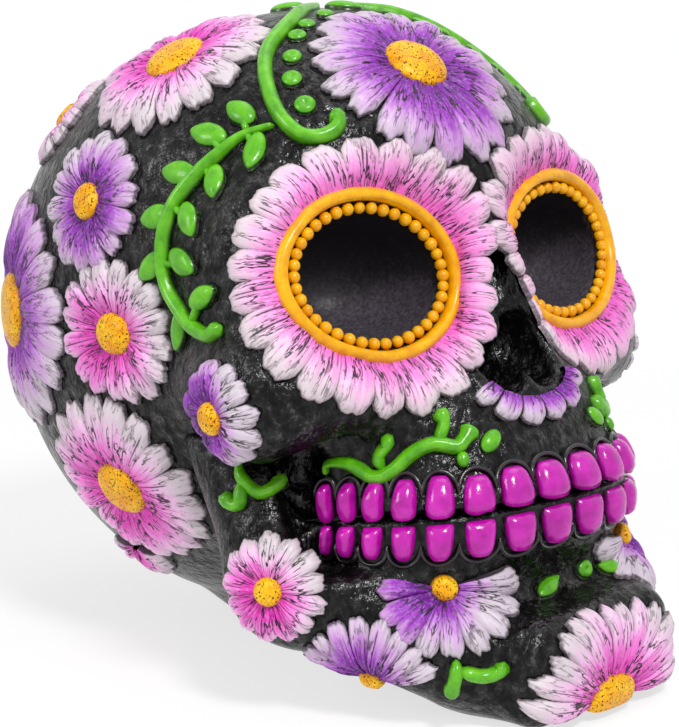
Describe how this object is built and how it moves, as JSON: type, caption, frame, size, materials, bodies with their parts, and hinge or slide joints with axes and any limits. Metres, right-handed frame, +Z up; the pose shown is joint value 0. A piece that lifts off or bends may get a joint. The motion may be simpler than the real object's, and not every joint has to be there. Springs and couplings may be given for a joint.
{
  "type": "sugar skull",
  "caption": "Decorative sugar skull: dark hollow cranium on its lower jaw, dressed with raised daisies, vines, petal-ringed eye rims and magenta teeth; stands on a table as seasonal decor.",
  "frame": {"origin": "middle of the footprint on the table", "axes": "+Z up, the face looks along -Y, +X is the skull's own left"},
  "size_m": [0.133, 0.1692, 0.1463],
  "materials": {
    "black_resin": "satin, dry-brushed with grey",
    "pink_paint": "satin paint, fading to pale tips, black in the grooves",
    "purple_paint": "satin paint, fading to pale tips, black in the grooves",
    "green_paint": "gloss paint",
    "yellow_paint": "gloss paint, black between the beads",
    "magenta_paint": "gloss paint, black between the teeth"
  },
  "bodies": {
    "root": {"cranium": "black_resin", "lower_jaw": "black_resin", "forehead_flower": "purple_paint", "chin_flower": "pink_paint", "back_flower": "pink_paint", "nose_petals": "purple_paint", "crown_flower_right": "pink_paint", "rear_crown_flower_right": "pink_paint", "temple_flower_right": "purple_paint", "side_flower_right": "pink_paint", "rear_flower_right": "purple_paint", "ear_flower_right": "pink_paint", "cheek_flower_right": "purple_paint", "jaw_angle_flower_right": "pink_paint", "nape_flower_right": "pink_paint", "jaw_flower_right": "purple_paint", "chin_side_flower_right": "purple_paint", "temple_vine_right": "green_paint", "brow_scroll_right": "green_paint", "maxilla_scroll_right": "green_paint", "eye_rim_right": "yellow_paint", "eye_petals_right": "pink_paint", "crown_flower_left": "pink_paint", "rear_crown_flower_left": "pink_paint", "temple_flower_left": "purple_paint", "side_flower_left": "pink_paint", "rear_flower_left": "purple_paint", "ear_flower_left": "pink_paint", "cheek_flower_left": "purple_paint", "jaw_angle_flower_left": "pink_paint", "nape_flower_left": "pink_paint", "jaw_flower_left": "purple_paint", "chin_side_flower_left": "purple_paint", "temple_vine_left": "green_paint", "brow_scroll_left": "green_paint", "maxilla_scroll_left": "green_paint", "eye_rim_left": "yellow_paint", "eye_petals_left": "pink_paint", "upper_teeth": "magenta_paint", "lower_teeth": "magenta_paint"}
  },
  "joints": []
}
